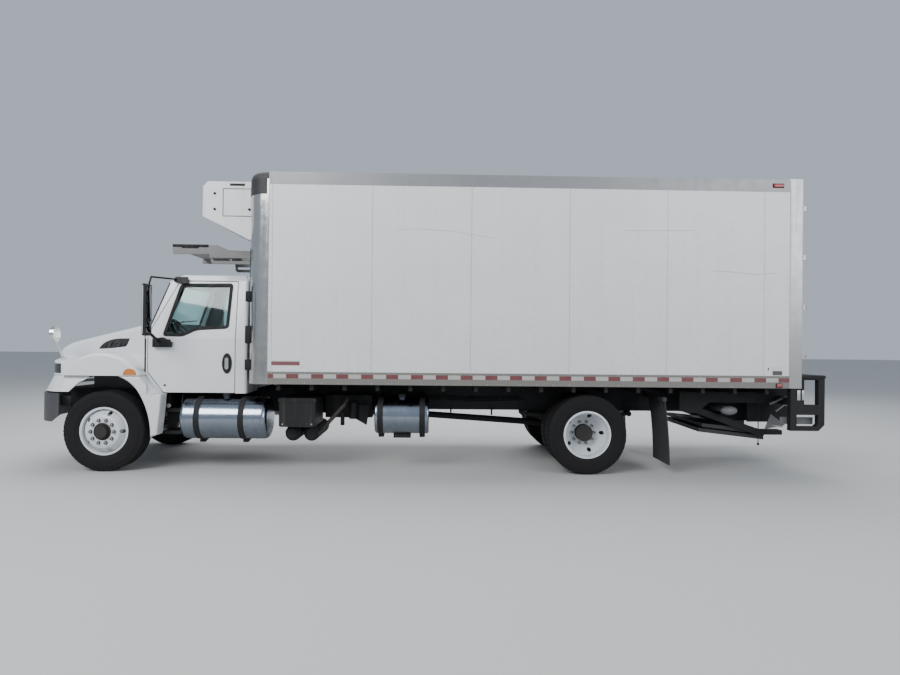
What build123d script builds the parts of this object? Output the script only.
from build123d import *
import math
import os

os.makedirs("parts", exist_ok=True)

# Refrigerated straight truck: conventional cab, one driven axle, insulated van body, nose-mounted
# cooling unit and a tuck-under liftgate. X runs rearwards, Y to the truck's right, Z up from the
# ground, and the origin lies under the middle of the whole vehicle. Everything is in millimetres.
# Outlines seen from the side are given as distance behind the front axle and height above ground.

# Wheels and axles
WHEELBASE = 5994.0
FRONT_AXLE_X = -3981.0
REAR_AXLE_X = FRONT_AXLE_X + WHEELBASE
TYRE_R = 498.0
HUB_Z = TYRE_R
FRONT_TYRE_Y = 1035.0
REAR_OUTER_Y = 1085.0
REAR_INNER_Y = 774.0
KINGPIN_Y = 880.0
STEER_ARM = 190.0
TIE_ROD_Z = 396.0

# Chassis frame
RAIL_BOTTOM = 723.0
RAIL_TOP = 977.0
RAIL_Y = 432.0
RAIL_FLANGE = 80.0
RAIL_WALL = 10.0
RAIL_START = -800.0
RAIL_END = 8560.0
RAIL_HOLES_X = 3100.0
RAIL_HOLE_PITCH_X = 200.0
RAIL_HOLE_PITCH_Z = 100.0
RAIL_HOLE_R = 8.5

# Van body
BODY_FRONT = 1756.0
BODY_REAR = 8650.0
BODY_BOTTOM = 1106.0
BODY_TOP = 3719.0
BODY_HALF = 1290.0
WALL = 90.0
FLOOR_TOP = 1266.0
ROOF_THICK = 100.0
CORNER_R = 250.0
CORNER_END = 2032.0
REAR_FRAME_START = 8495.0
RAIL_PROUD = 5.5
DOORWAY_HALF = 1130.0
DOORWAY_BOTTOM = 1290.0
DOORWAY_TOP = 3560.0

# Cab
CAB_HALF = 1000.0
CAB_BOTTOM = 965.0
CAB_BACK = 1700.0
BELT_Z = 1650.0
EAVES_Z = 2400.0
EAVES_HALF = 890.0
ROOF_Z = 2476.0
CAB_WALL = 60.0
COWL_HALF = 885.0
COWL_TOP = 1790.0
DASH_FIT = 3.0
DASH_HALF = 785.0
DOOR_GAP = 10.0
LEAN = math.degrees(math.atan((CAB_HALF - EAVES_HALF) / (EAVES_Z - BELT_Z)))

# Tilting bonnet with its wings and arch flares
NOSE_X = -930.0
NOSE_CORNER_X = -815.0
NOSE_CORNER_Y = 655.0
HOOD_REAR_MID = 185.0
HOOD_REAR_SIDE = 412.0
HOOD_REAR_HALF = 985.0
HOOD_BOTTOM = 1020.0
HOOD_SKIN = 28.0
HOOD_LINE = ((-1000, 1330), (-860, 1456), (-708, 1562), (-500, 1624), (-231, 1685), (104, 1759), (500, 1845))
WING_HALF = 1190.0
WING_BOTTOM = 1186.0
FLARE_TOP = 1180.0
FLARE_BOTTOM = 985.0
CAB_CLEAR = 1008.0


def side_plane(y):
    """Upright plane along the truck at a lateral place: local x is the distance behind the front
    axle, local y the height, and an extrusion grows towards the left side."""
    return Plane(origin=(FRONT_AXLE_X, y, 0), x_dir=(1, 0, 0), z_dir=(0, -1, 0))


def cross_plane(x):
    """Upright plane across the truck: local x is to the right, local y the height, growing rearwards."""
    return Plane(origin=(FRONT_AXLE_X + x, 0, 0), x_dir=(0, 1, 0), z_dir=(1, 0, 0))


def level_plane(z):
    """Level plane: local x is the distance behind the front axle, local y is to the right."""
    return Plane(origin=(FRONT_AXLE_X, 0, z), x_dir=(1, 0, 0), z_dir=(0, 0, 1))


def save(part, label):
    part.label = label
    export_step(part, f"parts/{label}.step")


# Frame rails: two channels with their flanges turned in, and the cross-members between them
CROSS_MEMBERS = (-720.0, 1250.0, 1900.0, 2700.0, 3900.0, 5200.0, 5800.0, 6900.0, 8100.0)

with BuildPart() as frame_rails:
    with BuildSketch(cross_plane(RAIL_START)):
        with BuildLine():
            Polyline(
                (RAIL_Y, RAIL_BOTTOM),
                (RAIL_Y, RAIL_TOP),
                (RAIL_Y - RAIL_FLANGE, RAIL_TOP),
                (RAIL_Y - RAIL_FLANGE, RAIL_TOP - RAIL_WALL),
                (RAIL_Y - RAIL_WALL, RAIL_TOP - RAIL_WALL),
                (RAIL_Y - RAIL_WALL, RAIL_BOTTOM + RAIL_WALL),
                (RAIL_Y - RAIL_FLANGE, RAIL_BOTTOM + RAIL_WALL),
                (RAIL_Y - RAIL_FLANGE, RAIL_BOTTOM),
                close=True,
            )
        make_face()
    extrude(amount=RAIL_END - RAIL_START)
    mirror(about=Plane.XZ)
    for member_x in CROSS_MEMBERS:
        with BuildSketch(side_plane(RAIL_Y - RAIL_WALL)):
            with Locations((member_x, (RAIL_BOTTOM + RAIL_TOP) / 2)):
                Rectangle(70, 150)
            with Locations((member_x + 10, (RAIL_BOTTOM + RAIL_TOP) / 2)):
                Rectangle(60, 134, mode=Mode.SUBTRACT)
        extrude(amount=2 * (RAIL_Y - RAIL_WALL))
    with BuildSketch(side_plane(RAIL_Y + RAIL_WALL)):
        with Locations((RAIL_HOLES_X, (RAIL_BOTTOM + RAIL_TOP) / 2)):
            with GridLocations(RAIL_HOLE_PITCH_X, RAIL_HOLE_PITCH_Z, 2, 2):
                Circle(RAIL_HOLE_R)
    extrude(amount=2 * (RAIL_Y + RAIL_WALL), mode=Mode.SUBTRACT)
save(frame_rails.part, "frame_rails")


# Front axle: dropped forged beam whose eyes hold the kingpins
with BuildPart() as front_axle:
    with BuildSketch(cross_plane(-45)):
        with BuildLine():
            Polyline(
                (-KINGPIN_Y, 566),
                (-KINGPIN_Y + 60, 560),
                (-560, 470),
                (560, 470),
                (KINGPIN_Y - 60, 560),
                (KINGPIN_Y, 566),
                (KINGPIN_Y, 432),
                (KINGPIN_Y - 70, 430),
                (600, 372),
                (-600, 372),
                (-KINGPIN_Y + 70, 430),
                (-KINGPIN_Y, 432),
                close=True,
            )
        make_face()
    extrude(amount=90)
    with BuildSketch(level_plane(432)):
        with Locations((0, -KINGPIN_Y), (0, KINGPIN_Y)):
            Circle(46)
    extrude(amount=134)
    with BuildSketch(level_plane(300)):
        with Locations((0, -KINGPIN_Y), (0, KINGPIN_Y)):
            Circle(24)
    extrude(amount=400, mode=Mode.SUBTRACT)
save(front_axle.part, "front_axle")


# Steering knuckles: yoke round the axle eye, kingpin, spindle and a tie-rod arm to the rear
for side, label in ((-1, "knuckle_left"), (1, "knuckle_right")):
    with BuildPart() as knuckle:
        with BuildSketch(cross_plane(-50)):
            with BuildLine():
                Polyline(
                    (side * (KINGPIN_Y - 48), 572),
                    (side * (KINGPIN_Y - 48), 612),
                    (side * (KINGPIN_Y + 95), 612),
                    (side * (KINGPIN_Y + 95), 384),
                    (side * (KINGPIN_Y - 48), 384),
                    (side * (KINGPIN_Y - 48), 426),
                    (side * (KINGPIN_Y + 54), 426),
                    (side * (KINGPIN_Y + 54), 572),
                    close=True,
                )
            make_face()
        extrude(amount=100)
        with BuildSketch(level_plane(400)):
            with Locations((0, side * KINGPIN_Y)):
                Circle(20)
        extrude(amount=190)
        with BuildSketch(side_plane(side * (KINGPIN_Y + 90))):
            with Locations((0, HUB_Z)):
                Circle(42)
        extrude(amount=-side * 150)
        with BuildSketch(level_plane(384)):
            with BuildLine():
                Polyline(
                    (40, side * (KINGPIN_Y + 30)),
                    (STEER_ARM - 30, side * (KINGPIN_Y + 18)),
                    (STEER_ARM - 30, side * (KINGPIN_Y - 18)),
                    (40, side * (KINGPIN_Y - 40)),
                    close=True,
                )
            make_face()
            with Locations((STEER_ARM, side * KINGPIN_Y)):
                Circle(34)
        extrude(amount=-26)
        with BuildSketch(level_plane(358)):
            with Locations((STEER_ARM, side * KINGPIN_Y)):
                Circle(11)
        extrude(amount=70)
    save(knuckle.part, label)


# Tie rod: a tube between two eyes that turn on the arms' pins
with BuildPart() as tie_rod:
    with BuildSketch(side_plane(KINGPIN_Y - 24)):
        with Locations((STEER_ARM, TIE_ROD_Z + 10)):
            Circle(17)
    extrude(amount=2 * (KINGPIN_Y - 24))
    with BuildSketch(level_plane(TIE_ROD_Z - 8)):
        with Locations((STEER_ARM, -KINGPIN_Y), (STEER_ARM, KINGPIN_Y)):
            Circle(28)
    extrude(amount=34)
    with BuildSketch(level_plane(TIE_ROD_Z - 40)):
        with Locations((STEER_ARM, -KINGPIN_Y), (STEER_ARM, KINGPIN_Y)):
            Circle(14)
    extrude(amount=100, mode=Mode.SUBTRACT)
save(tie_rod.part, "tie_rod")


# Tyres, rims with their hubs and drums. Profiles are radius and lateral place from the tyre's middle.
TYRE_PROFILE = ((286, 98), (390, 137), (480, 122), (TYRE_R, 98))
RIM_PROFILE = (
    (298, -114),
    (298, -106),
    (286, -106),
    (286, 106),
    (298, 106),
    (298, 114),
    (274, 114),
    (270, 60),
    (270, -60),
    (274, -114),
)
HAND_HOLES = 5


def tyre(axle_x, y):
    with BuildPart() as ring:
        with BuildSketch(Plane(origin=(axle_x, y, HUB_Z))):
            with BuildLine():
                Polyline(
                    *TYRE_PROFILE,
                    *((radius, -width) for radius, width in reversed(TYRE_PROFILE)),
                    close=True,
                )
            make_face()
        revolve(axis=Axis((axle_x, y, HUB_Z), (0, 1, 0)))
    return ring.part


def rim(axle_x, y, dish):
    """Drop-centre rim and its disc. The disc's mounting face stands at dish from the rim's middle,
    positive to the truck's right."""
    out = math.copysign(1, dish)
    with BuildPart() as wheel:
        with BuildSketch(Plane(origin=(axle_x, y, HUB_Z))):
            with BuildLine():
                Polyline(*RIM_PROFILE, close=True)
            make_face()
        revolve(axis=Axis((axle_x, y, HUB_Z), (0, 1, 0)))
        with BuildSketch(Plane(origin=(axle_x, y, HUB_Z))):
            with BuildLine():
                Polyline(
                    (272, out * 42),
                    (262, out * 62),
                    (206, out * 140),
                    (178, abs(dish) * out),
                    (105, abs(dish) * out),
                    (105, (abs(dish) - 12) * out),
                    (174, (abs(dish) - 12) * out),
                    (196, out * 130),
                    (252, out * 50),
                    (262, out * 32),
                    (272, out * 28),
                    close=True,
                )
            make_face()
        revolve(axis=Axis((axle_x, y, HUB_Z), (0, 1, 0)))
        with BuildSketch(Plane(origin=(axle_x, y, HUB_Z), x_dir=(1, 0, 0), z_dir=(0, -1, 0))):
            with PolarLocations(228, HAND_HOLES):
                Circle(26)
        extrude(amount=-out * 200, mode=Mode.SUBTRACT)
    return wheel.part


FRONT_DISH = 150.0
REAR_DISH = 155.5
for side, name in ((-1, "left"), (1, "right")):
    save(tyre(FRONT_AXLE_X, side * FRONT_TYRE_Y), f"front_tyre_{name}")
    face_y = side * (FRONT_TYRE_Y + FRONT_DISH)
    with BuildPart() as front_rim:
        add(rim(FRONT_AXLE_X, side * FRONT_TYRE_Y, side * FRONT_DISH))
        with BuildSketch(Plane(origin=(FRONT_AXLE_X, face_y, HUB_Z), x_dir=(1, 0, 0), z_dir=(0, side, 0))):
            Circle(106)
        extrude(amount=-70)
        with BuildSketch(Plane(origin=(FRONT_AXLE_X, face_y, HUB_Z), x_dir=(1, 0, 0), z_dir=(0, side, 0))):
            Circle(82)
        extrude(amount=46, taper=12)
        with BuildSketch(Plane(origin=(FRONT_AXLE_X, face_y, HUB_Z), x_dir=(1, 0, 0), z_dir=(0, side, 0))):
            with PolarLocations(143, 10):
                RegularPolygon(17, 6)
        extrude(amount=26)
        drum_y = side * (FRONT_TYRE_Y - 90)
        with BuildSketch(Plane(origin=(FRONT_AXLE_X, drum_y, HUB_Z), x_dir=(1, 0, 0), z_dir=(0, side, 0))):
            Circle(208)
        extrude(amount=170)
        with BuildSketch(Plane(origin=(FRONT_AXLE_X, drum_y, HUB_Z), x_dir=(1, 0, 0), z_dir=(0, side, 0))):
            Circle(50)
        extrude(amount=FRONT_DISH + 90 - 20, mode=Mode.SUBTRACT)
        with BuildSketch(Plane(origin=(FRONT_AXLE_X, drum_y, HUB_Z), x_dir=(1, 0, 0), z_dir=(0, side, 0))):
            Circle(190)
        extrude(amount=110, mode=Mode.SUBTRACT)
        with BuildSketch(Plane(origin=(FRONT_AXLE_X, face_y, HUB_Z), x_dir=(1, 0, 0), z_dir=(0, side, 0))):
            Circle(106)
            Circle(50, mode=Mode.SUBTRACT)
        extrude(amount=-80)
    save(front_rim.part, f"front_rim_{name}")

    with BuildPart() as rear_tyres:
        add(tyre(REAR_AXLE_X, side * REAR_OUTER_Y))
        add(tyre(REAR_AXLE_X, side * REAR_INNER_Y))
    save(rear_tyres.part, f"rear_tyres_{name}")
    pad_y = side * (REAR_OUTER_Y - REAR_DISH)
    with BuildPart() as rear_rims:
        add(rim(REAR_AXLE_X, side * REAR_OUTER_Y, -side * REAR_DISH))
        add(rim(REAR_AXLE_X, side * REAR_INNER_Y, side * REAR_DISH))
        with BuildSketch(Plane(origin=(REAR_AXLE_X, pad_y, HUB_Z), x_dir=(1, 0, 0), z_dir=(0, side, 0))):
            Circle(106)
        extrude(amount=110)
        with BuildSketch(Plane(origin=(REAR_AXLE_X, pad_y - side * 7, HUB_Z), x_dir=(1, 0, 0), z_dir=(0, side, 0))):
            with PolarLocations(143, 10):
                RegularPolygon(17, 6)
        extrude(amount=49)
        with BuildSketch(Plane(origin=(REAR_AXLE_X, pad_y, HUB_Z), x_dir=(1, 0, 0), z_dir=(0, side, 0))):
            Circle(106)
        extrude(amount=-90)
        with BuildSketch(Plane(origin=(REAR_AXLE_X, pad_y - side * 250, HUB_Z), x_dir=(1, 0, 0), z_dir=(0, side, 0))):
            Circle(206)
        extrude(amount=190)
        with BuildSketch(Plane(origin=(REAR_AXLE_X, pad_y - side * 250, HUB_Z), x_dir=(1, 0, 0), z_dir=(0, side, 0))):
            Circle(188)
        extrude(amount=160, mode=Mode.SUBTRACT)
        with BuildSketch(Plane(origin=(REAR_AXLE_X, pad_y - side * 250, HUB_Z), x_dir=(1, 0, 0), z_dir=(0, side, 0))):
            Circle(78)
        extrude(amount=260, mode=Mode.SUBTRACT)
    save(rear_rims.part, f"rear_rims_{name}")


# Rear axle: banjo housing with its differential and the tubes that carry the hubs
with BuildPart() as rear_axle:
    rear_plane = Plane(origin=(REAR_AXLE_X, REAR_OUTER_Y - REAR_DISH - 20, HUB_Z), x_dir=(1, 0, 0), z_dir=(0, -1, 0))
    with BuildSketch(rear_plane):
        Circle(62)
    extrude(amount=2 * (REAR_OUTER_Y - REAR_DISH - 20))
    with BuildSketch(Plane(origin=(REAR_AXLE_X - 170, 0, HUB_Z), x_dir=(0, 1, 0), z_dir=(1, 0, 0))):
        Circle(150)
    extrude(amount=300, taper=8)
    with BuildSketch(Plane(origin=(REAR_AXLE_X - 170, 0, HUB_Z), x_dir=(0, 1, 0), z_dir=(-1, 0, 0))):
        Circle(80)
    extrude(amount=130, taper=10)
save(rear_axle.part, "rear_axle")


# Leaf springs: packs of curved leaves, their hangers on the rails and the seats on the axles
SPRING_Y = 500.0
SPRING_WIDTH = 90.0
# axle place, half length, eye height, middle height, pack depth
SPRINGS = ((0.0, 640.0, 640.0, 475.0, 60.0), (WHEELBASE, 720.0, 680.0, 565.0, 110.0))

with BuildPart() as leaf_springs:
    for place, half, eye_z, mid_z, depth in SPRINGS:
        with BuildSketch(side_plane(-SPRING_Y + SPRING_WIDTH / 2)):
            with BuildLine():
                ThreePointArc((place - half, eye_z), (place, mid_z), (place + half, eye_z))
                Line((place + half, eye_z), (place + half, eye_z + 24))
                ThreePointArc((place + half, eye_z + 24), (place, mid_z + depth), (place - half, eye_z + 24))
                Line((place - half, eye_z + 24), (place - half, eye_z))
            make_face()
            for end in (-1, 1):
                with Locations((place + end * half, eye_z + 12)):
                    Circle(34)
        extrude(amount=SPRING_WIDTH)
        for end in (-1, 1):
            with BuildSketch(side_plane(-RAIL_Y)):
                with Locations((place + end * half, eye_z + 90)):
                    Rectangle(90, 180)
            extrude(amount=14)
            with BuildSketch(side_plane(-RAIL_Y)):
                with Locations((place + end * half, eye_z + 12)):
                    Circle(20)
            extrude(amount=30)
    mirror(about=Plane.XZ)
save(leaf_springs.part, "leaf_springs")


# Driveshaft: two tubes with yokes, from the gearbox to the differential
with BuildPart() as driveshaft:
    shaft_start = Vector(FRONT_AXLE_X + 1560, 0, 690)
    shaft_middle = Vector(FRONT_AXLE_X + 3800, 0, 620)
    shaft_end = Vector(REAR_AXLE_X - 310, 0, HUB_Z)
    for start, end in ((shaft_start, shaft_middle), (shaft_middle, shaft_end)):
        run = Plane(origin=start, z_dir=(end - start).normalized())
        with BuildSketch(run):
            Circle(45)
        extrude(amount=(end - start).length)
    with BuildSketch(cross_plane(3740)):
        with Locations((0, 622)):
            Circle(80)
    extrude(amount=60)
    with BuildSketch(cross_plane(3755)):
        with Locations((0, 660)):
            Rectangle(60, 130)
    extrude(amount=30)
save(driveshaft.part, "driveshaft")


# Engine with gearbox: one plain block each at their real place
with BuildPart() as engine:
    with BuildSketch(side_plane(320)):
        with Locations((-130, 1000)):
            Rectangle(840, 760)
    extrude(amount=640)
    with BuildSketch(side_plane(230)):
        with BuildLine():
            Polyline((290, 560), (290, 900), (1100, 860), (1100, 600), (700, 560), close=True)
        make_face()
    extrude(amount=460)
save(engine.part, "engine")


# Exhaust cleaner on the right side under the cab, with its outlet pipe
with BuildPart() as exhaust:
    with BuildSketch(cross_plane(900)):
        with Locations((900, 640)):
            Circle(165)
    extrude(amount=1000)
    with BuildSketch(cross_plane(1900)):
        with Locations((900, 640)):
            Circle(55)
    extrude(amount=420)
    for bracket_x in (1050, 1700):
        with BuildSketch(cross_plane(bracket_x)):
            with BuildLine():
                Polyline((RAIL_Y, 900), (RAIL_Y, 760), (760, 560), (760, 760), close=True)
            make_face()
        extrude(amount=30)
save(exhaust.part, "exhaust")


# Fuel tanks: the big one under the driver's door and the cooling unit's own
# name of tank, front, rear, diameter, middle height, radius of its dished ends
TANKS = (
    ("main", 920.0, 1990.0, 530.0, 655.0, 60.0),
    ("unit", 3327.0, 4009.0, 460.0, 698.0, 25.0),
)
TANK_Y = 930.0
STRAP = 6.0
STRAPS = (("main", 1137.0), ("main", 1680.0), ("unit", 3400.0), ("unit", 3925.0))

with BuildPart() as fuel_tanks:
    for tank, front, rear, diameter, middle, end_radius in TANKS:
        with BuildSketch(cross_plane(front)):
            with Locations((-TANK_Y, middle)):
                Circle(diameter / 2)
        extrude(amount=rear - front)
        fillet(fuel_tanks.edges(Select.LAST).filter_by(GeomType.CIRCLE), radius=end_radius)
    for tank, front, rear, diameter, middle, end_radius in TANKS:
        with BuildSketch(level_plane(middle + diameter / 2 - 30)):
            with Locations(((front + rear) / 2, -TANK_Y - 60)):
                Circle(48)
        extrude(amount=48)
save(fuel_tanks.part, "fuel_tanks")

with BuildPart() as tank_straps:
    for tank, strap_x in STRAPS:
        diameter, middle = [row[3:5] for row in TANKS if row[0] == tank][0]
        with BuildSketch(cross_plane(strap_x - 35)):
            with Locations((-TANK_Y, middle)):
                Circle(diameter / 2 + STRAP)
            with BuildLine():
                Polyline(
                    (-TANK_Y, middle - diameter / 2 - STRAP),
                    (-TANK_Y, middle - diameter / 2 - 50),
                    (-RAIL_Y - 150, middle - diameter / 2 + 10),
                    (-RAIL_Y, RAIL_BOTTOM + 20),
                    (-RAIL_Y, RAIL_TOP - 40),
                    (-RAIL_Y - 70, RAIL_TOP - 40),
                    (-TANK_Y + diameter / 2, middle + 60),
                    close=True,
                )
            make_face()
            with Locations((-TANK_Y, middle)):
                Circle(diameter / 2, mode=Mode.SUBTRACT)
        extrude(amount=70)
save(tank_straps.part, "tank_straps")


# Battery box with its lid, hung from the left rail
with BuildPart() as battery_box:
    with BuildSketch(side_plane(-560)):
        with Locations((2370, 745)):
            RectangleRounded(449, 360, 25)
    extrude(amount=590)
    with BuildSketch(side_plane(-600)):
        with Locations((2370, 900)):
            Rectangle(470, 40)
    extrude(amount=560)
    for bracket_x in (2200, 2540):
        with BuildSketch(side_plane(-RAIL_Y)):
            with Locations((bracket_x, 820)):
                Rectangle(50, 160)
        extrude(amount=140)
save(battery_box.part, "battery_box")


# Air tanks across the frame and the air dryer on the rail
AIR_TANKS = (2275.0, 2511.0)
with BuildPart() as air_tanks:
    for tank_x in AIR_TANKS:
        with BuildSketch(side_plane(-100)):
            with Locations((tank_x, 458)):
                Circle(100)
        extrude(amount=850)
    chamfer(air_tanks.edges().filter_by(GeomType.CIRCLE), length=40)
    for tank_x in AIR_TANKS:
        with BuildSketch(side_plane(-RAIL_Y + RAIL_FLANGE)):
            with Locations((tank_x, 640)):
                Rectangle(50, 166)
        extrude(amount=RAIL_FLANGE)
    with BuildSketch(side_plane(-RAIL_Y)):
        with Locations((2995, 800)):
            Rectangle(120, 60)
    extrude(amount=170)
    with BuildSketch(level_plane(620)):
        with Locations((2995, -RAIL_Y - 100)):
            Circle(70)
    extrude(amount=160)
save(air_tanks.part, "air_tanks")


# Entry steps under the front of each door, two treads on a bracket from the rail
STEP_FRONT = 655.0
STEP_REAR = 872.0
STEP_LEVELS = (440.0, 720.0)
with BuildPart() as cab_steps:
    for level in STEP_LEVELS:
        with BuildSketch(level_plane(level)):
            with Locations(((STEP_FRONT + STEP_REAR) / 2, -835)):
                Rectangle(STEP_REAR - STEP_FRONT, 250)
        extrude(amount=45)
    for plate_x in (STEP_FRONT + 40, STEP_REAR - 12):
        with BuildSketch(cross_plane(plate_x)):
            with BuildLine():
                Polyline(
                    (-RAIL_Y, 940),
                    (-900, 940),
                    (-955, 700),
                    (-955, 440),
                    (-715, 440),
                    (-RAIL_Y, RAIL_BOTTOM + 30),
                    close=True,
                )
            make_face()
        extrude(amount=12)
    mirror(about=Plane.XZ)
save(cab_steps.part, "cab_steps")


# Mud flaps behind the rear wheels on their hanger bars
with BuildPart() as mud_flaps:
    with BuildSketch(side_plane(-620)):
        with BuildLine():
            ThreePointArc((7020, 125), (7002, 520), (6950, 970))
            Line((6950, 970), (6960, 970))
            ThreePointArc((6960, 970), (7012, 520), (7030, 125))
            Line((7030, 125), (7020, 125))
        make_face()
    extrude(amount=600)
    with BuildSketch(side_plane(-RAIL_Y)):
        with Locations((6957, 950)):
            Rectangle(50, 50)
    extrude(amount=790)
    mirror(about=Plane.XZ)
save(mud_flaps.part, "mud_flaps")


# Front bumper: one swept-back pressing whose ends curve round in front of the wheels
BUMPER_TOP = 966.0
BUMPER_BOTTOM = 614.0
BUMPER_SHEET = 24.0
# points of the front face on the left: middle, start of the corner, corner, end
BUMPER_FACE = ((-988.0, 0.0), (-870.0, 880.0), (-762.0, 1068.0), (-528.0, 1192.0))
with BuildPart() as front_bumper:
    with BuildSketch(level_plane(BUMPER_BOTTOM)):
        with BuildLine():
            middle, start, corner, end = BUMPER_FACE
            ThreePointArc((start[0], -start[1]), middle, start)
            ThreePointArc(start, corner, end)
            Line(end, (end[0] + 4, end[1] - BUMPER_SHEET))
            ThreePointArc(
                (end[0] + 4, end[1] - BUMPER_SHEET),
                (corner[0] + 19, corner[1] - 16),
                (start[0] + BUMPER_SHEET, start[1] - 8),
            )
            ThreePointArc(
                (start[0] + BUMPER_SHEET, start[1] - 8),
                (middle[0] + BUMPER_SHEET, 0),
                (start[0] + BUMPER_SHEET, -start[1] + 8),
            )
            ThreePointArc(
                (start[0] + BUMPER_SHEET, -start[1] + 8),
                (corner[0] + 19, -corner[1] + 16),
                (end[0] + 4, -end[1] + BUMPER_SHEET),
            )
            Line((end[0] + 4, -end[1] + BUMPER_SHEET), (end[0], -end[1]))
            ThreePointArc((end[0], -end[1]), (corner[0], -corner[1]), (start[0], -start[1]))
        make_face()
    extrude(amount=BUMPER_TOP - BUMPER_BOTTOM)
    with BuildSketch(side_plane(1300)):
        with BuildLine():
            Polyline((-640, 560), (-640, 614), (-520, 700), (-400, 700), (-400, 560), close=True)
        make_face()
    extrude(amount=2600, mode=Mode.SUBTRACT)
    for bracket_y in (-400, 400):
        with BuildSketch(cross_plane(-960)):
            with Locations((bracket_y, 800)):
                Rectangle(12, 130)
        extrude(amount=RAIL_START + 960)
save(front_bumper.part, "front_bumper")


# Cab: lower box, glasshouse that leans in, and a crowned roof
def cab_form(inset):
    with BuildPart() as form:
        with BuildSketch(side_plane(CAB_HALF - inset)):
            with BuildLine():
                Polyline(
                    (300 + inset, 1120 + inset * 0.6),
                    (500 + inset * 0.4, CAB_BOTTOM + inset),
                    (CAB_BACK - inset, CAB_BOTTOM + inset),
                    (CAB_BACK - inset, BELT_Z),
                    (190 + inset, BELT_Z),
                    (190 + inset, 1470 + inset),
                    (300 + inset, 1430 + inset * 0.6),
                    close=True,
                )
            make_face()
        extrude(amount=2 * (CAB_HALF - inset))
        with BuildSketch(level_plane(CAB_BOTTOM - 10)):
            with BuildLine():
                ThreePointArc((440 + inset, COWL_HALF - inset), (215 + inset, 0), (440 + inset, -COWL_HALF + inset))
                Polyline(
                    (440 + inset, -COWL_HALF + inset),
                    (440 + inset, -CAB_HALF + inset),
                    (CAB_BACK - inset, -CAB_HALF + inset),
                    (CAB_BACK - inset, CAB_HALF - inset),
                    (440 + inset, CAB_HALF - inset),
                    (440 + inset, COWL_HALF - inset),
                )
            make_face()
        extrude(amount=900, mode=Mode.INTERSECT)
        # level, side front, middle front, rear, half width
        for bottom, top in (
            ((BELT_Z, 425, 215, CAB_BACK, CAB_HALF), (EAVES_Z, 703, 590, CAB_BACK - 15, EAVES_HALF)),
            (
                (EAVES_Z, 703, 590, CAB_BACK - 15, EAVES_HALF),
                (ROOF_Z - inset, 830, 740, CAB_BACK - 75, EAVES_HALF - 110),
            ),
        ):
            for level, side_front, middle_front, rear, half in (bottom, top):
                with BuildSketch(level_plane(level)):
                    with BuildLine():
                        ThreePointArc(
                            (side_front + inset, half - inset),
                            (middle_front + inset, 0),
                            (side_front + inset, -half + inset),
                        )
                        Polyline(
                            (side_front + inset, -half + inset),
                            (rear - inset, -half + inset),
                            (rear - inset, half - inset),
                            (side_front + inset, half - inset),
                        )
                    make_face()
            loft()
        rear_line = FRONT_AXLE_X + CAB_BACK - inset - 30
        rounded = [
            edge
            for edge in form.edges()
            if edge.center().Z > EAVES_Z - 5
            or (edge.center().X > rear_line and abs(edge.center().Y) > 600 and edge.length > 200)
        ]
        fillet(rounded, radius=40 - inset * 0.4)
    return form.part


cab_outer = cab_form(0)
cab_inner = cab_form(CAB_WALL)

# Side door outline, grown by the gap round the door, and how far the door swings with some to spare
DOOR_HINGE_X = 455.0
DOOR_SWING = 68.0
DOOR_OUTLINE = (
    (660, 962),
    (1557, 962),
    (1557, 2392),
    (812, 2392),
    (DOOR_HINGE_X, 1700),
    (DOOR_HINGE_X, 1225),
)
LEFT_SKIN = Plane(
    origin=(FRONT_AXLE_X, -CAB_HALF, BELT_Z),
    x_dir=(1, 0, 0),
    z_dir=(0, -math.cos(math.radians(LEAN)), math.sin(math.radians(LEAN))),
)


def on_skin(x, z):
    """A side-view point as local coordinates on the leaning skin of the glasshouse."""
    return (x, (z - BELT_Z) / math.cos(math.radians(LEAN)))


WINDOW_OUTLINE = tuple(
    on_skin(x, z)
    for x, z in ((660, 1700), (880, 1696), (1054, 1780), (1440, 1803), (1469, 2340), (845, 2330))
)

with BuildPart() as cab_wall:
    add(cab_outer)
    with BuildSketch(level_plane(1640)):
        with BuildLine():
            ThreePointArc((425, 930), (215, 0), (425, -930))
            Polyline((425, -930), (480, -900), (480, 900), (425, 930))
        make_face()
    extrude(amount=COWL_TOP - 1640)
    add(cab_inner, mode=Mode.SUBTRACT)
    with BuildSketch(cross_plane(200)):
        with Locations((0, 900)):
            Rectangle(960, 190)
    extrude(amount=1600, mode=Mode.SUBTRACT)
# below the belt the sill and the front post stay with the cab, and the door is its outer wall alone
SILL_HALF = CAB_HALF - CAB_WALL - 10
with BuildPart() as door_hole:
    with BuildSketch(side_plane(-EAVES_HALF + CAB_WALL + 30)):
        with BuildLine():
            Polyline(*DOOR_OUTLINE, close=True)
        make_face()
    extrude(amount=400)
    with BuildSketch(level_plane(CAB_BOTTOM - 60)):
        with Locations((1000, -SILL_HALF / 2)):
            Rectangle(1400, SILL_HALF)
    extrude(amount=BELT_Z - CAB_BOTTOM + 50, mode=Mode.SUBTRACT)
with BuildPart() as door_block:
    with BuildSketch(side_plane(-EAVES_HALF + CAB_WALL + 30)):
        with BuildLine():
            Polyline(*DOOR_OUTLINE, close=True)
        make_face()
        offset(amount=-DOOR_GAP, kind=Kind.INTERSECTION)
    extrude(amount=400)
    with BuildSketch(level_plane(CAB_BOTTOM - 60)):
        with Locations((1000, -SILL_HALF / 2 - 4)):
            Rectangle(1400, SILL_HALF + 8)
    extrude(amount=BELT_Z - CAB_BOTTOM + 60, mode=Mode.SUBTRACT)

WINDSCREEN = ((-830, 1845), (-745, 2365), (745, 2365), (830, 1845))
REAR_GLASS = ((-520, 1800), (-520, 2250), (520, 2250), (520, 1800))

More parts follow.
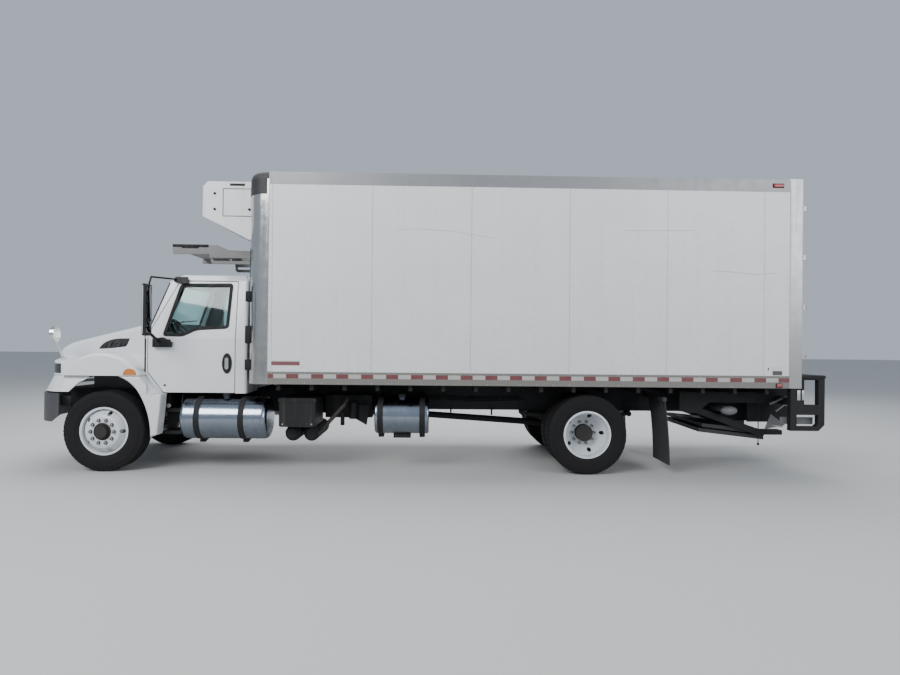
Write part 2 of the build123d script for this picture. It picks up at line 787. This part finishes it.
with BuildPart() as cab_shell:
    add(cab_wall.part)
    add(door_hole.part, mode=Mode.SUBTRACT)
    add(mirror(door_hole.part, about=Plane.XZ, mode=Mode.PRIVATE), mode=Mode.SUBTRACT)
    with BuildSketch(cross_plane(100)):
        with BuildLine():
            Polyline(*WINDSCREEN, close=True)
        make_face()
    extrude(amount=760, mode=Mode.SUBTRACT)
    with BuildSketch(cross_plane(1500)):
        with BuildLine():
            Polyline(*REAR_GLASS, close=True)
        make_face()
    extrude(amount=400, mode=Mode.SUBTRACT)
    for mount_y in (-RAIL_Y + 40, RAIL_Y - 40):
        for mount_x in (700, 1560):
            with BuildSketch(level_plane(RAIL_TOP)):
                with Locations((mount_x, mount_y)):
                    Rectangle(70, 60)
            extrude(amount=20)
save(cab_shell.part, "cab_shell")

with BuildPart() as cab_glass:
    add(cab_form(20))
    add(cab_form(26), mode=Mode.SUBTRACT)
    with BuildPart(mode=Mode.INTERSECT) as glass_field:
        with BuildSketch(cross_plane(100)):
            with BuildLine():
                Polyline(*WINDSCREEN, close=True)
            make_face()
        extrude(amount=760)
        with BuildSketch(cross_plane(1500)):
            with BuildLine():
                Polyline(*REAR_GLASS, close=True)
            make_face()
        extrude(amount=400)
save(cab_glass.part, "cab_glass")

# Cab doors with their window cut, the glass, and the mirrors on their arms
MIRROR_X = 606.0
MIRROR_INNER = 1290.0
MIRROR_OUTER = 1460.0
# from, to, radius, on the left side
MIRROR_ARMS = (
    ((612, -1030, 1606), (612, -1310, 1716), 18.0),
    ((606, -1345, 2270), (628, -1316, 2398), 11.0),
    ((628, -1316, 2398), (782, -924, 2404), 11.0),
)
MIRROR_BRACKET = ((745, 2372), (768, 2432), (922, 2430), (930, 2392), (925, 2346), (840, 2346))
for side, name in ((-1, "left"), (1, "right")):
    with BuildPart() as door:
        add(cab_wall.part)
        add(door_block.part, mode=Mode.INTERSECT)
        with BuildSketch(LEFT_SKIN):
            with BuildLine():
                Polyline(*WINDOW_OUTLINE, close=True)
            make_face()
        extrude(amount=200, both=True, mode=Mode.SUBTRACT)
        with BuildSketch(side_plane(-CAB_HALF + 4)):
            with Locations((1452, 1343)):
                SlotOverall(150, 46, rotation=90)
        extrude(amount=26)
    with BuildPart() as window:
        with BuildSketch(LEFT_SKIN.offset(-30)):
            with BuildLine():
                Polyline(*WINDOW_OUTLINE, close=True)
            make_face()
        extrude(amount=6)
    with BuildPart() as mirror_set:
        with BuildSketch(side_plane(-CAB_HALF)):
            with BuildLine():
                Polyline((540, 1540), (540, 1650), (660, 1665), (775, 1600), (760, 1540), close=True)
            make_face()
        extrude(amount=60)
        with BuildSketch(side_plane(-MIRROR_INNER)):
            with Locations((MIRROR_X, 1994)):
                RectangleRounded(46, 625, 22)
        extrude(amount=MIRROR_OUTER - MIRROR_INNER)
        for start, end, radius in MIRROR_ARMS:
            foot = Vector(FRONT_AXLE_X + start[0], start[1], start[2])
            run = Vector(end[0], end[1], end[2]) - Vector(start[0], start[1], start[2])
            with BuildSketch(Plane(origin=foot, z_dir=run)):
                Circle(radius)
            extrude(amount=run.length)
            with Locations(foot):
                Sphere(radius)
        # the arm's upper bracket, on a pad at the corner of the door's frame
        with BuildSketch(LEFT_SKIN):
            with BuildLine():
                Polyline(
                    on_skin(838, 2346),
                    on_skin(915, 2346),
                    on_skin(915, 2376),
                    on_skin(838, 2376),
                    close=True,
                )
            make_face()
        extrude(amount=20)
        with BuildSketch(LEFT_SKIN.offset(18)):
            with BuildLine():
                Polyline(*[on_skin(x, z) for x, z in MIRROR_BRACKET], close=True)
            make_face()
        extrude(amount=26)
    if side == 1:
        save(mirror(door.part, about=Plane.XZ), "door_right")
        save(mirror(window.part, about=Plane.XZ), "window_right")
        save(mirror(mirror_set.part, about=Plane.XZ), "mirror_right")
    else:
        save(door.part, "door_left")
        save(window.part, "window_left")
        save(mirror_set.part, "mirror_left")


# Cab interior: dashboard, two seats, and the steering wheel on its column
with BuildPart() as cab_interior:
    with BuildSketch(side_plane(DASH_HALF)):
        with BuildLine():
            Polyline((255, 1480), (255, 1745), (470, 1745), (620, 1660), (620, 1560), (480, 1480), close=True)
        make_face()
    extrude(amount=2 * DASH_HALF)
    add(cab_form(CAB_WALL + DASH_FIT), mode=Mode.INTERSECT)
    for seat_y, seat_width in ((-520, 520), (480, 620)):
        with BuildSketch(side_plane(seat_y + seat_width / 2)):
            with BuildLine():
                Polyline(
                    (900, 1030),
                    (860, 1420),
                    (880, 1500),
                    (1300, 1460),
                    (1420, 2120),
                    (1560, 2100),
                    (1450, 1400),
                    (1400, 1030),
                    close=True,
                )
            make_face()
        extrude(amount=seat_width)
    wheel_plane = Plane(origin=(FRONT_AXLE_X + 720, -520, 1720), z_dir=(0.82, 0, 0.57))
    with BuildSketch(wheel_plane):
        Circle(230)
        Circle(200, mode=Mode.SUBTRACT)
        Rectangle(420, 36)
        Rectangle(36, 420)
        Circle(60)
    extrude(amount=-20)
    with BuildSketch(wheel_plane):
        Circle(36)
    extrude(amount=-170)
save(cab_interior.part, "cab_interior")


# Bonnet: one moulding with its wings, which tilts forward about its low front edge
def bonnet_centre(inset):
    """The part over the engine, narrow at the nose, with rounded shoulders."""
    with BuildPart() as centre:
        with BuildSketch(level_plane(HOOD_BOTTOM)):
            with BuildLine():
                ThreePointArc(
                    (NOSE_CORNER_X + inset, NOSE_CORNER_Y - inset),
                    (NOSE_X + inset, 0),
                    (NOSE_CORNER_X + inset, -NOSE_CORNER_Y + inset),
                )
                Line(
                    (NOSE_CORNER_X + inset, -NOSE_CORNER_Y + inset),
                    (HOOD_REAR_SIDE, -HOOD_REAR_HALF + inset),
                )
                ThreePointArc(
                    (HOOD_REAR_SIDE, -HOOD_REAR_HALF + inset),
                    (HOOD_REAR_MID, 0),
                    (HOOD_REAR_SIDE, HOOD_REAR_HALF - inset),
                )
                Line(
                    (HOOD_REAR_SIDE, HOOD_REAR_HALF - inset),
                    (NOSE_CORNER_X + inset, NOSE_CORNER_Y - inset),
                )
            make_face()
        extrude(amount=1000)
        with BuildSketch(side_plane(1100)):
            with BuildLine():
                Line((-1000, 900), (-1000, HOOD_LINE[0][1] - inset))
                Spline(*((x, z - inset) for x, z in HOOD_LINE))
                Polyline((500, HOOD_LINE[-1][1] - inset), (500, 900), (-1000, 900))
            make_face()
        extrude(amount=2200, mode=Mode.INTERSECT)
        nose_corners = centre.edges().filter_by(Axis.Z).group_by(Axis.X)[0]
        fillet(nose_corners, radius=110 - inset)
        shoulders = centre.faces().sort_by(Axis.Z)[-1].edges().sort_by(Axis.X)[:-1]
        fillet(shoulders, radius=70 - inset)
    return centre.part


def wing(inset):
    """The left wing: a blister over the wheel and the lamp pod in front of it."""
    with BuildPart() as blister:
        with BuildSketch(side_plane(-560)):
            with BuildLine():
                Line((-520 + inset, WING_BOTTOM), (-500 + inset, 1240))
                ThreePointArc((-500 + inset, 1240), (-40, 1470 - inset), (385 - inset / 2, 1290))
                Polyline(
                    (385 - inset / 2, 1290),
                    (445 - inset, 1210),
                    (445 - inset, WING_BOTTOM),
                    (-520 + inset, WING_BOTTOM),
                )
            make_face()
        extrude(amount=WING_HALF - inset - 560)
        rim_edges = blister.faces().sort_by(Axis.Y)[0].edges().sort_by(Axis.Z)[1:]
        fillet(rim_edges, radius=45 - inset)
    with BuildPart() as pod:
        with BuildSketch(level_plane(WING_BOTTOM)):
            with BuildLine():
                Line((-775 + inset, -500), (-775 + inset, -830 + inset / 2))
                ThreePointArc(
                    (-775 + inset, -830 + inset / 2),
                    (-655 + inset * 0.8, -1035 + inset * 0.6),
                    (-430, -1130 + inset),
                )
                Polyline((-430, -1130 + inset), (-250, -1130 + inset), (-250, -500), (-775 + inset, -500))
            make_face()
        extrude(amount=300)
        with BuildSketch(cross_plane(-900)):
            with BuildLine():
                Polyline((-500, 1100), (-500, 1478 - inset), (-660, 1440 - inset), (-1000, 1362 - inset))
                Polyline((-1000, 1362 - inset), (-1150, 1310 - inset), (-1150, 1100), (-500, 1100))
            make_face()
        extrude(amount=800, mode=Mode.INTERSECT)
        with BuildSketch(side_plane(0)):
            with BuildLine():
                Polyline(
                    (-797 + inset, 1100),
                    (-635 + inset, 1500),
                    (0, 1500),
                    (0, 1100),
                    close=True,
                )
            make_face()
        extrude(amount=1200, mode=Mode.INTERSECT)
    with BuildPart() as whole:
        add(blister.part)
        add(pod.part)
    return whole.part


def bonnet(inset):
    with BuildPart() as moulding:
        add(bonnet_centre(inset))
        add(wing(inset))
        add(mirror(wing(inset), about=Plane.XZ, mode=Mode.PRIVATE))
    return moulding.part


# The cab's front behind the bonnet, the lamp opening in each pod's corner, and the side vents
with BuildPart() as cab_room:
    with BuildSketch(level_plane(HOOD_BOTTOM - 1)):
        with BuildLine():
            ThreePointArc((HOOD_REAR_SIDE, HOOD_REAR_HALF), (HOOD_REAR_MID, 0), (HOOD_REAR_SIDE, -HOOD_REAR_HALF))
            Polyline(
                (HOOD_REAR_SIDE, -HOOD_REAR_HALF),
                (HOOD_REAR_SIDE, -CAB_CLEAR),
                (500, -CAB_CLEAR),
                (500, CAB_CLEAR),
                (HOOD_REAR_SIDE, CAB_CLEAR),
                (HOOD_REAR_SIDE, HOOD_REAR_HALF),
            )
        make_face()
    extrude(amount=900)

with BuildPart() as lamp_room:
    with BuildSketch(level_plane(1206)):
        with BuildLine():
            Polyline((-900, -705), (-900, -1200), (-540, -1200), (-600, -860), (-700, -705), close=True)
        make_face()
    extrude(amount=122)
    mirror(about=Plane.XZ)

with BuildPart() as vent_room:
    with BuildSketch(side_plane(1100)):
        with BuildLine():
            Spline((-245, 1508), (-150, 1596), (-33, 1634), (205, 1648))
            Polyline((205, 1648), (180, 1585), (152, 1544))
            ThreePointArc((152, 1544), (-31, 1521), (-245, 1508))
        make_face()
    extrude(amount=2200)

with BuildPart() as hood:
    add(bonnet(0))
    add(bonnet(HOOD_SKIN), mode=Mode.SUBTRACT)
    add(cab_room.part, mode=Mode.SUBTRACT)
    for side in (-1, 1):
        with BuildSketch(level_plane(HOOD_BOTTOM - 1)):
            with BuildLine():
                Polyline(
                    (-860, side * 500),
                    (420, side * 800),
                    (420, side * 1190),
                    (-240, side * 1190),
                    (-860, side * 560),
                    close=True,
                )
            make_face()
        extrude(amount=WING_BOTTOM - HOOD_BOTTOM + 1, mode=Mode.SUBTRACT)
    add(lamp_room.part, mode=Mode.SUBTRACT)
    add(vent_room.part, mode=Mode.SUBTRACT)
    with BuildSketch(cross_plane(-1000)):
        with BuildLine():
            Polyline((-440, 1060), (-480, 1400), (480, 1400), (440, 1060), close=True)
        make_face()
    extrude(amount=250, mode=Mode.SUBTRACT)
save(hood.part, "hood")


# Headlamps: lenses that carry on the pods' surface round the corner
with BuildPart() as headlamps:
    add(bonnet(3))
    add(bonnet(HOOD_SKIN), mode=Mode.SUBTRACT)
    add(lamp_room.part, mode=Mode.INTERSECT)
save(headlamps.part, "headlamps")


# Arch flares, bolted under the wings: a sloping corner piece before each wheel, and a lip with a
# skirt behind it
# level, front, corner start, corner point, end of the corner
FLARE_PLANS = (
    (FLARE_BOTTOM, -851.0, 868.0, (-745.0, 1054.0), (-520.0, 1178.0)),
    (FLARE_TOP, -772.0, 828.0, (-652.0, 1030.0), (-470.0, 1128.0)),
)
SKIRT_JOINT = 961.0
SKIRT_GAP = 1.5
ARCH_FRONT = ((-488, 932), (-423, 988), (-315, 1100), (-149, FLARE_TOP))


def flare_block(inset):
    with BuildPart() as block:
        for level, front, start_y, corner, end in FLARE_PLANS:
            with BuildSketch(level_plane(level)):
                with BuildLine():
                    Line((front + inset, -600), (front + inset, -start_y + inset / 2))
                    ThreePointArc(
                        (front + inset, -start_y + inset / 2),
                        (corner[0] + inset * 0.8, -corner[1] + inset * 0.6),
                        (end[0], -end[1] + inset),
                    )
                    Polyline(
                        (end[0], -end[1] + inset),
                        (-200, -end[1] + inset),
                        (-200, -600),
                        (front + inset, -600),
                    )
                make_face()
        loft()
    return block.part


with BuildPart() as fender_flares:
    add(flare_block(0))
    add(flare_block(HOOD_SKIN), mode=Mode.SUBTRACT)
    with BuildSketch(side_plane(-500)):
        with BuildLine():
            Polyline((-488, 900), *ARCH_FRONT, (-100, FLARE_TOP), (-100, 900), close=True)
        make_face()
    extrude(amount=800, mode=Mode.SUBTRACT)
    with BuildSketch(level_plane(FLARE_BOTTOM - 1)):
        with Locations((-700, -650)):
            Rectangle(500, 260)
    extrude(amount=FLARE_TOP, mode=Mode.SUBTRACT)
    with BuildSketch(side_plane(-CAB_CLEAR)):
        with BuildLine():
            Line((170, FLARE_TOP), (440, FLARE_TOP))
            ThreePointArc((440, FLARE_TOP), (560, 1038), (708, 958))
            Polyline((708, 958), (696, 784), (662, 462), (577, 430))
            ThreePointArc((577, 430), (528, 760), (430, 976))
            ThreePointArc((430, 976), (320, 1100), (170, FLARE_TOP))
        make_face()
    extrude(amount=WING_HALF - CAB_CLEAR)
    skirt_face = fender_flares.faces().filter_by(Axis.Y).sort_by(Axis.Y)[0]
    fillet(skirt_face.edges(), radius=22)
    # room for the lower corner of the door as it swings over the skirt
    with BuildSketch(side_plane(-CAB_HALF)):
        with BuildLine():
            Polyline(
                (DOOR_HINGE_X, 1225),
                (660, 962),
                (DOOR_HINGE_X + 400, 962),
                (DOOR_HINGE_X + 400, 1300),
                (DOOR_HINGE_X, 1300),
                close=True,
            )
        make_face()
    hinge_line = Axis((FRONT_AXLE_X + DOOR_HINGE_X, -CAB_HALF, 0), (0, 0, -1))
    revolve(axis=hinge_line, revolution_arc=DOOR_SWING, mode=Mode.SUBTRACT)
    # the skirt is bolted up in three pieces, parted level with the door's foot and where it stops
    with BuildSketch(level_plane(SKIRT_JOINT)):
        with Locations((450, -WING_HALF)):
            Rectangle(700, 500)
    extrude(amount=SKIRT_GAP, mode=Mode.SUBTRACT)
    with BuildSketch(level_plane(SKIRT_JOINT)):
        with Locations((DOOR_HINGE_X, -CAB_HALF)):
            Rectangle(300, SKIRT_GAP, rotation=-DOOR_SWING, align=(Align.MIN, Align.CENTER))
    extrude(amount=FLARE_TOP, mode=Mode.SUBTRACT)
    mirror(about=Plane.XZ)
save(fender_flares.part, "fender_flares")


# Grille in the nose: a curved surround with upright bars
with BuildPart() as grille:
    with BuildSketch(level_plane(1064)):
        with BuildLine():
            ThreePointArc((-890, 440), (NOSE_X + 2, 0), (-890, -440))
            Line((-890, -440), (-866, -440))
            ThreePointArc((-866, -440), (NOSE_X + 26, 0), (-866, 440))
            Line((-866, 440), (-890, 440))
        make_face()
    extrude(amount=332)
    with BuildSketch(cross_plane(-1000)):
        with BuildLine():
            Polyline((-398, 1094), (-420, 1366), (420, 1366), (398, 1094), close=True)
        make_face()
        for bar in range(13):
            with Locations((-360 + bar * 60, 1230)):
                Rectangle(22, 320, mode=Mode.SUBTRACT)
        with Locations((0, 1230)):
            Rectangle(900, 26, mode=Mode.SUBTRACT)
    extrude(amount=250, mode=Mode.SUBTRACT)
    with BuildPart(mode=Mode.PRIVATE) as vent_slats:
        add(bonnet_centre(10))
        add(bonnet_centre(22), mode=Mode.SUBTRACT)
        add(vent_room.part, mode=Mode.INTERSECT)
        for slat in range(5):
            with BuildSketch(side_plane(1100)):
                with Locations(Location((-130 + slat * 66, 1560, 0), (0, 0, 62))):
                    Rectangle(70, 12)
            extrude(amount=2200, mode=Mode.SUBTRACT)
    add(vent_slats.part)
save(grille.part, "grille")

# Small mirrors on stalks over the lamps
with BuildPart() as hood_mirrors:
    with BuildSketch(Plane(origin=(FRONT_AXLE_X - 620, -935, 1377.5), z_dir=(0, -0.224, 0.975))):
        Circle(26)
    extrude(amount=16)
    with BuildSketch(Plane(origin=(FRONT_AXLE_X - 620, -935, 1384), z_dir=(0, -0.655, 0.755))):
        Circle(11)
    extrude(amount=290)
    with BuildSketch(cross_plane(-645)):
        with Locations((-1130, 1690)):
            Ellipse(80, 96)
    extrude(amount=50)
    mirror(about=Plane.XZ)
save(hood_mirrors.part, "hood_mirrors")


# Van body: floor with its cross-members and sills
with BuildPart() as body_floor:
    with BuildSketch(level_plane(BODY_BOTTOM)):
        with Locations(((CORNER_END + REAR_FRAME_START) / 2, 0)):
            Rectangle(REAR_FRAME_START - CORNER_END, 2 * (BODY_HALF - WALL))
    extrude(amount=FLOOR_TOP - BODY_BOTTOM)
    for sill_y in (-RAIL_Y + 40, RAIL_Y - 40):
        with BuildSketch(level_plane(RAIL_TOP)):
            with Locations(((CORNER_END + REAR_FRAME_START) / 2, sill_y)):
                Rectangle(REAR_FRAME_START - CORNER_END, 70)
        extrude(amount=BODY_BOTTOM - RAIL_TOP)
    for member in range(16):
        with BuildSketch(level_plane(1030)):
            with Locations((CORNER_END + 120 + member * 406.4, 0)):
                Rectangle(45, 2 * (BODY_HALF - 60))
        extrude(amount=BODY_BOTTOM - 1030)
save(body_floor.part, "body_floor")

with BuildPart() as side_walls:
    with BuildSketch(level_plane(BODY_BOTTOM)):
        for side in (-1, 1):
            with Locations(((CORNER_END + REAR_FRAME_START) / 2, side * (BODY_HALF - WALL / 2))):
                Rectangle(REAR_FRAME_START - CORNER_END, WALL)
    extrude(amount=BODY_TOP - ROOF_THICK - BODY_BOTTOM)
save(side_walls.part, "side_walls")

with BuildPart() as front_wall:
    with BuildSketch(level_plane(BODY_BOTTOM)):
        with BuildLine():
            Polyline((CORNER_END, BODY_HALF), (BODY_FRONT + CORNER_R, BODY_HALF))
            ThreePointArc(
                (BODY_FRONT + CORNER_R, BODY_HALF),
                (BODY_FRONT + CORNER_R * 0.2929, BODY_HALF - CORNER_R * 0.2929),
                (BODY_FRONT, BODY_HALF - CORNER_R),
            )
            Line((BODY_FRONT, BODY_HALF - CORNER_R), (BODY_FRONT, -BODY_HALF + CORNER_R))
            ThreePointArc(
                (BODY_FRONT, -BODY_HALF + CORNER_R),
                (BODY_FRONT + CORNER_R * 0.2929, -BODY_HALF + CORNER_R * 0.2929),
                (BODY_FRONT + CORNER_R, -BODY_HALF),
            )
            Polyline((BODY_FRONT + CORNER_R, -BODY_HALF), (CORNER_END, -BODY_HALF), (CORNER_END, BODY_HALF))
        make_face()
    extrude(amount=BODY_TOP - ROOF_THICK - BODY_BOTTOM)
    with BuildSketch(level_plane(FLOOR_TOP)):
        with Locations(((BODY_FRONT + WALL + CORNER_END) / 2, 0)):
            Rectangle(CORNER_END - BODY_FRONT - WALL, 2 * (BODY_HALF - WALL))
    extrude(amount=BODY_TOP, mode=Mode.SUBTRACT)
save(front_wall.part, "front_wall")

with BuildPart() as body_roof:
    with BuildSketch(level_plane(BODY_TOP - ROOF_THICK)):
        with Locations(((BODY_FRONT + REAR_FRAME_START) / 2, 0)):
            Rectangle(REAR_FRAME_START - BODY_FRONT, 2 * BODY_HALF)
    extrude(amount=ROOF_THICK)
    front_edges = body_roof.edges().filter_by(Axis.Z).group_by(Axis.X)[0]
    fillet(front_edges, radius=CORNER_R)
    fillet(body_roof.faces().sort_by(Axis.Z)[-1].edges().group_by(Axis.X)[0], radius=90)
save(body_roof.part, "body_roof")

# Rails along the body's edges, standing proud of the side sheets
RAIL_BANDS = ((BODY_BOTTOM, 1260.0), (3558.0, BODY_TOP - 12))
CORNER_CAP_BOTTOM = 3434.0
with BuildPart() as body_rails:
    for low, high in RAIL_BANDS:
        with BuildSketch(level_plane(low)):
            for side in (-1, 1):
                with Locations(((CORNER_END + REAR_FRAME_START) / 2, side * (BODY_HALF + RAIL_PROUD / 2))):
                    Rectangle(REAR_FRAME_START - CORNER_END, RAIL_PROUD)
        extrude(amount=high - low)
    for side in (-1, 1):
        with BuildSketch(level_plane(CORNER_CAP_BOTTOM)):
            with Locations((BODY_FRONT + CORNER_R, side * (BODY_HALF - CORNER_R))):
                Circle(CORNER_R + RAIL_PROUD)
                Circle(CORNER_R, mode=Mode.SUBTRACT)
            with BuildLine():
                Polyline(
                    (BODY_FRONT - 20, side * (BODY_HALF - CORNER_R)),
                    (BODY_FRONT - 20, side * (BODY_HALF + 20)),
                    (BODY_FRONT + CORNER_R, side * (BODY_HALF + 20)),
                    (BODY_FRONT + CORNER_R, side * (BODY_HALF - CORNER_R)),
                    close=True,
                )
            make_face(mode=Mode.INTERSECT)
        extrude(amount=BODY_TOP - ROOF_THICK - CORNER_CAP_BOTTOM)
save(body_rails.part, "body_rails")

with BuildPart() as rear_frame:
    with BuildSketch(cross_plane(REAR_FRAME_START)):
        with Locations((0, (BODY_BOTTOM + BODY_TOP) / 2)):
            Rectangle(2 * (BODY_HALF + RAIL_PROUD), BODY_TOP - BODY_BOTTOM)
        with Locations((0, (DOORWAY_BOTTOM + DOORWAY_TOP) / 2)):
            Rectangle(2 * DOORWAY_HALF, DOORWAY_TOP - DOORWAY_BOTTOM, mode=Mode.SUBTRACT)
    extrude(amount=BODY_REAR - REAR_FRAME_START)
save(rear_frame.part, "rear_frame")

# Rear lamps: three in the middle of the head beam and one in each corner, and a pair low on the posts
# lateral place, height, width, height of lens
REAR_LAMPS = (
    (0.0, 3645.0, 90.0, 40.0),
    (150.0, 3645.0, 90.0, 40.0),
    (1180.0, 3645.0, 90.0, 40.0),
    (1215.0, 1385.0, 90.0, 150.0),
    (1215.0, 1615.0, 90.0, 150.0),
)
with BuildPart() as rear_lamps:
    for lamp_y, lamp_z, lamp_width, lamp_height in REAR_LAMPS:
        with BuildSketch(cross_plane(BODY_REAR)):
            for side in (-1, 1) if lamp_y else (1,):
                with Locations((side * lamp_y, lamp_z)):
                    RectangleRounded(lamp_width, lamp_height, 15)
        extrude(amount=14)
save(rear_lamps.part, "rear_lamps")


# Rear doors: two insulated leaves in the portal, with lock rods and hinge straps
PIN_X = BODY_REAR + 42.0
PIN_Y = BODY_HALF
DOOR_EDGE = 12.0
LEAF_THICK = 100.0
HINGES_Z = (1500.0, 2120.0, 2740.0, 3350.0)
RODS_Y = (330.0, 880.0)

for side, name in ((-1, "left"), (1, "right")):
    leaf_width = DOORWAY_HALF - DOOR_EDGE - 8
    with BuildPart() as leaf:
        with BuildSketch(cross_plane(BODY_REAR - LEAF_THICK + 8)):
            with Locations((side * (8 + leaf_width / 2), (DOORWAY_BOTTOM + DOORWAY_TOP) / 2)):
                Rectangle(leaf_width, DOORWAY_TOP - DOORWAY_BOTTOM - 2 * DOOR_EDGE)
        extrude(amount=LEAF_THICK)
        for hinge_z in HINGES_Z:
            with BuildSketch(cross_plane(BODY_REAR + 8)):
                with Locations((side * (PIN_Y + 920) / 2, hinge_z)):
                    Rectangle(PIN_Y - 920, 60)
            extrude(amount=12)
            with BuildSketch(level_plane(hinge_z - 30)):
                with Locations((PIN_X, side * PIN_Y)):
                    Circle(14)
                with Locations((PIN_X - 18, side * PIN_Y)):
                    Rectangle(36, 24)
            extrude(amount=60)
        for rod_y in RODS_Y:
            with BuildSketch(level_plane(DOORWAY_BOTTOM + 30)):
                with Locations((BODY_REAR + 34, side * rod_y)):
                    Circle(14)
            extrude(amount=DOORWAY_TOP - DOORWAY_BOTTOM - 60)
            for guide_z in (1420.0, 2000.0, 2900.0, 3400.0):
                with BuildSketch(cross_plane(BODY_REAR + 8)):
                    with Locations((side * rod_y, guide_z)):
                        Rectangle(70, 50)
                extrude(amount=44)
            with BuildSketch(cross_plane(BODY_REAR + 26)):
                with Locations((side * (rod_y - 150), 1900)):
                    Rectangle(300, 34)
            extrude(amount=16)
    save(leaf.part, f"rear_door_{name}")


# Cooling unit on the front wall
COOLING_HALF = 960.0
COOLING_DOOR = ((1366, 3214), (1366, 3563), (1720, 3563), (1720, 3214))
with BuildPart() as cooling_unit:
    with BuildSketch(side_plane(COOLING_HALF)):
        with BuildLine():
            Polyline(
                (1106, 3206),
                (1110, 3592),
                (1170, 3655),
                (BODY_FRONT, 3655),
                (BODY_FRONT, 2914),
                (1700, 2914),
                close=True,
            )
        make_face()
    extrude(amount=2 * COOLING_HALF)
    fillet(cooling_unit.edges().filter_by(Axis.Y).group_by(Axis.X)[0], radius=25)
    fillet(cooling_unit.faces().filter_by(Axis.Y).edges().filter_by(GeomType.LINE), radius=12)
    # the condenser's opening in the nose and its louvres
    with BuildSketch(cross_plane(1000)):
        with Locations((0, 3395)):
            Rectangle(1240, 230)
            for louvre in range(5):
                with Locations((0, -92 + louvre * 46)):
                    Rectangle(1240, 18, mode=Mode.SUBTRACT)
    extrude(amount=190, mode=Mode.SUBTRACT)
    # the shut lines of the side doors
    for side in (-1, 1):
        with BuildSketch(side_plane(side * (COOLING_HALF - 3) + 3)):
            with BuildLine():
                Polyline(*COOLING_DOOR, close=True)
            make_face()
            offset(amount=-6, mode=Mode.SUBTRACT)
        extrude(amount=6, mode=Mode.SUBTRACT)
save(cooling_unit.part, "cooling_unit")


# Service platform over the cab, carried by two arms from the front wall
with BuildPart() as service_platform:
    for platform_y in (-1, 1):
        with BuildSketch(side_plane(platform_y * 560 + 20)):
            with BuildLine():
                Polyline(
                    (590, 2775),
                    (590, 2896),
                    (1174, 2896),
                    (1333, 2831),
                    (1616, 2821),
                    (1616, 2728),
                    (1073, 2728),
                    (1073, 2775),
                    close=True,
                )
            make_face()
        extrude(amount=40)
        with BuildSketch(side_plane(platform_y * 540 + 20)):
            with Locations((1430, 2670)):
                Rectangle(652, 40)
            with Locations((1100, 2710)):
                Rectangle(30, 80)
            with Locations((1350, 2710)):
                Rectangle(30, 80)
        extrude(amount=40)
    with BuildSketch(level_plane(2840)):
        with Locations((880, 0)):
            Rectangle(540, 1100)
    extrude(amount=30)
save(service_platform.part, "service_platform")


# Liftgate: fixed side plates with the dock bumper, lifting arms, and the folded platform
LIFT_PIVOT = (7420.0, 820.0)
LIFT_HEAD = (8420.0, 470.0)
STEP_Y = 1230.0
STEP_WIDTH = 80.0
STEP_REAR = 8960.0
with BuildPart() as liftgate_frame:
    for side in (-1, 1):
        with BuildSketch(side_plane(side * 800 + 10)):
            with BuildLine():
                Polyline((7300, 1020), (7300, 760), (7520, 740), (7700, 880), (8600, 880), (8600, 1020), close=True)
            make_face()
        extrude(amount=20)
        with BuildSketch(side_plane(side * STEP_Y + STEP_WIDTH / 2)):
            with BuildLine():
                Polyline(
                    (8527, 1100),
                    (8527, 575),
                    (8885, 575),
                    (STEP_REAR, 650),
                    (STEP_REAR, 1270),
                    (BODY_REAR + 2, 1270),
                    (BODY_REAR + 2, 1100),
                    close=True,
                )
            make_face()
            with BuildLine():
                Polyline((8606, 775), (8606, 629), (8850, 629), (8880, 662), (8880, 775), close=True)
            make_face(mode=Mode.SUBTRACT)
            with BuildLine():
                Polyline((8700, 1210), (8700, 900), (8880, 900), (8880, 1210), close=True)
            make_face(mode=Mode.SUBTRACT)
        extrude(amount=STEP_WIDTH)
    with BuildSketch(side_plane(1290)):
        with Locations(((BODY_REAR + STEP_REAR) / 2, 1250)):
            Rectangle(STEP_REAR - BODY_REAR, 30)
    extrude(amount=2580)
    with BuildSketch(side_plane(STEP_Y)):
        with Locations((8625, 925)):
            Rectangle(110, 90)
    extrude(amount=2 * STEP_Y)
    # the pump's box hangs under the rails
    with BuildSketch(side_plane(RAIL_Y)):
        with Locations((8275, (RAIL_BOTTOM + 600) / 2)):
            RectangleRounded(530, RAIL_BOTTOM - 600, 20)
    extrude(amount=2 * RAIL_Y)
save(liftgate_frame.part, "liftgate_frame")

lift_run = (LIFT_HEAD[0] - LIFT_PIVOT[0], LIFT_HEAD[1] - LIFT_PIVOT[1])
lift_middle = ((LIFT_PIVOT[0] + LIFT_HEAD[0]) / 2, (LIFT_PIVOT[1] + LIFT_HEAD[1]) / 2)
lift_length = math.hypot(*lift_run)
lift_angle = math.atan2(lift_run[1], lift_run[0])
with BuildPart() as liftgate_arms:
    for side in (-1, 1):
        with BuildSketch(side_plane(side * 740 + 20)):
            with Locations(Location((*lift_middle, 0), (0, 0, math.degrees(lift_angle)))):
                SlotCenterToCenter(lift_length, 86)
        extrude(amount=40)
    with BuildSketch(side_plane(720)):
        with Locations(lift_middle):
            Rectangle(90, 70)
    extrude(amount=1440)
save(liftgate_arms.part, "liftgate_arms")

with BuildPart() as liftgate_platform:
    with BuildSketch(side_plane(700)):
        with BuildLine():
            Polyline((7600, 480), (7600, 530), (8480, 430), (8480, 380), close=True)
        make_face()
        with BuildLine():
            Polyline((7650, 545), (7650, 590), (8250, 530), (8250, 475), close=True)
        make_face()
    extrude(amount=1400)
    # hinge bosses on the line of the arms' heads
    with BuildSketch(side_plane(714)):
        with Locations(LIFT_HEAD):
            Circle(52)
    extrude(amount=1428)
save(liftgate_platform.part, "liftgate_platform")
